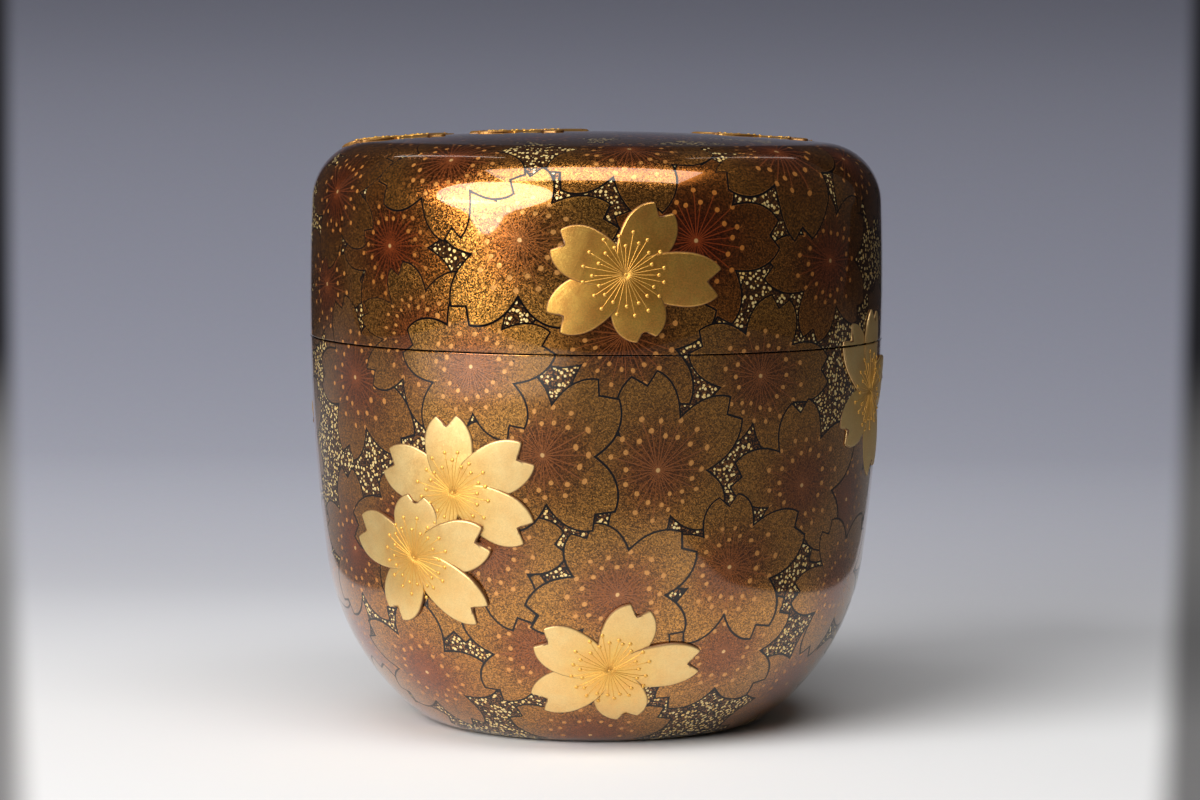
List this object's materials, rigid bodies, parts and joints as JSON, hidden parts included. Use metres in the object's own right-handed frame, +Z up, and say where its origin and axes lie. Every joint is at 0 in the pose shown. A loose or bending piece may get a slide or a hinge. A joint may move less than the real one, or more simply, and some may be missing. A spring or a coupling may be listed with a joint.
{
  "type": "lacquer tea caddy",
  "caption": "Round lidded tea caddy: a turned cup with an inner collar, a slip-over lid, and raised cherry blossoms laid on both.",
  "frame": {"origin": "on the table, under the axis that the caddy is turned about", "axes": "+Z up along the turning axis; the front of the ornament faces -Y, with +X to its right"},
  "size_m": [0.0661, 0.0668, 0.0682],
  "materials": {
    "body_lacquer": "clear gloss lacquer over fine gold and copper powder, black lacquer inside",
    "lid_lacquer": "clear amber gloss lacquer over fine gold and copper powder, black lacquer inside",
    "pale_gold": "burnished pale gold powder on raised lacquer, satin"
  },
  "bodies": {
    "body": {"caddy_body": "body_lacquer", "blossom_body_over": "pale_gold", "blossom_body_under": "pale_gold", "blossom_body_low": "pale_gold", "blossom_body_back_high": "pale_gold", "blossom_body_back_low": "pale_gold", "blossom_body_left": "pale_gold", "blossom_seam_body_half": "pale_gold"},
    "lid": {"caddy_lid": "lid_lacquer", "blossom_lid_front": "pale_gold", "blossom_lid_back": "pale_gold", "blossom_seam_lid_half": "pale_gold", "blossom_top_left": "pale_gold", "blossom_top_middle": "pale_gold", "blossom_top_right": "pale_gold"}
  },
  "joints": [
    {"name": "lid_lift", "type": "slide", "parent": "body", "child": "lid", "axis": [0, 0, 1], "range_m": [0, 0.075]}
  ]
}
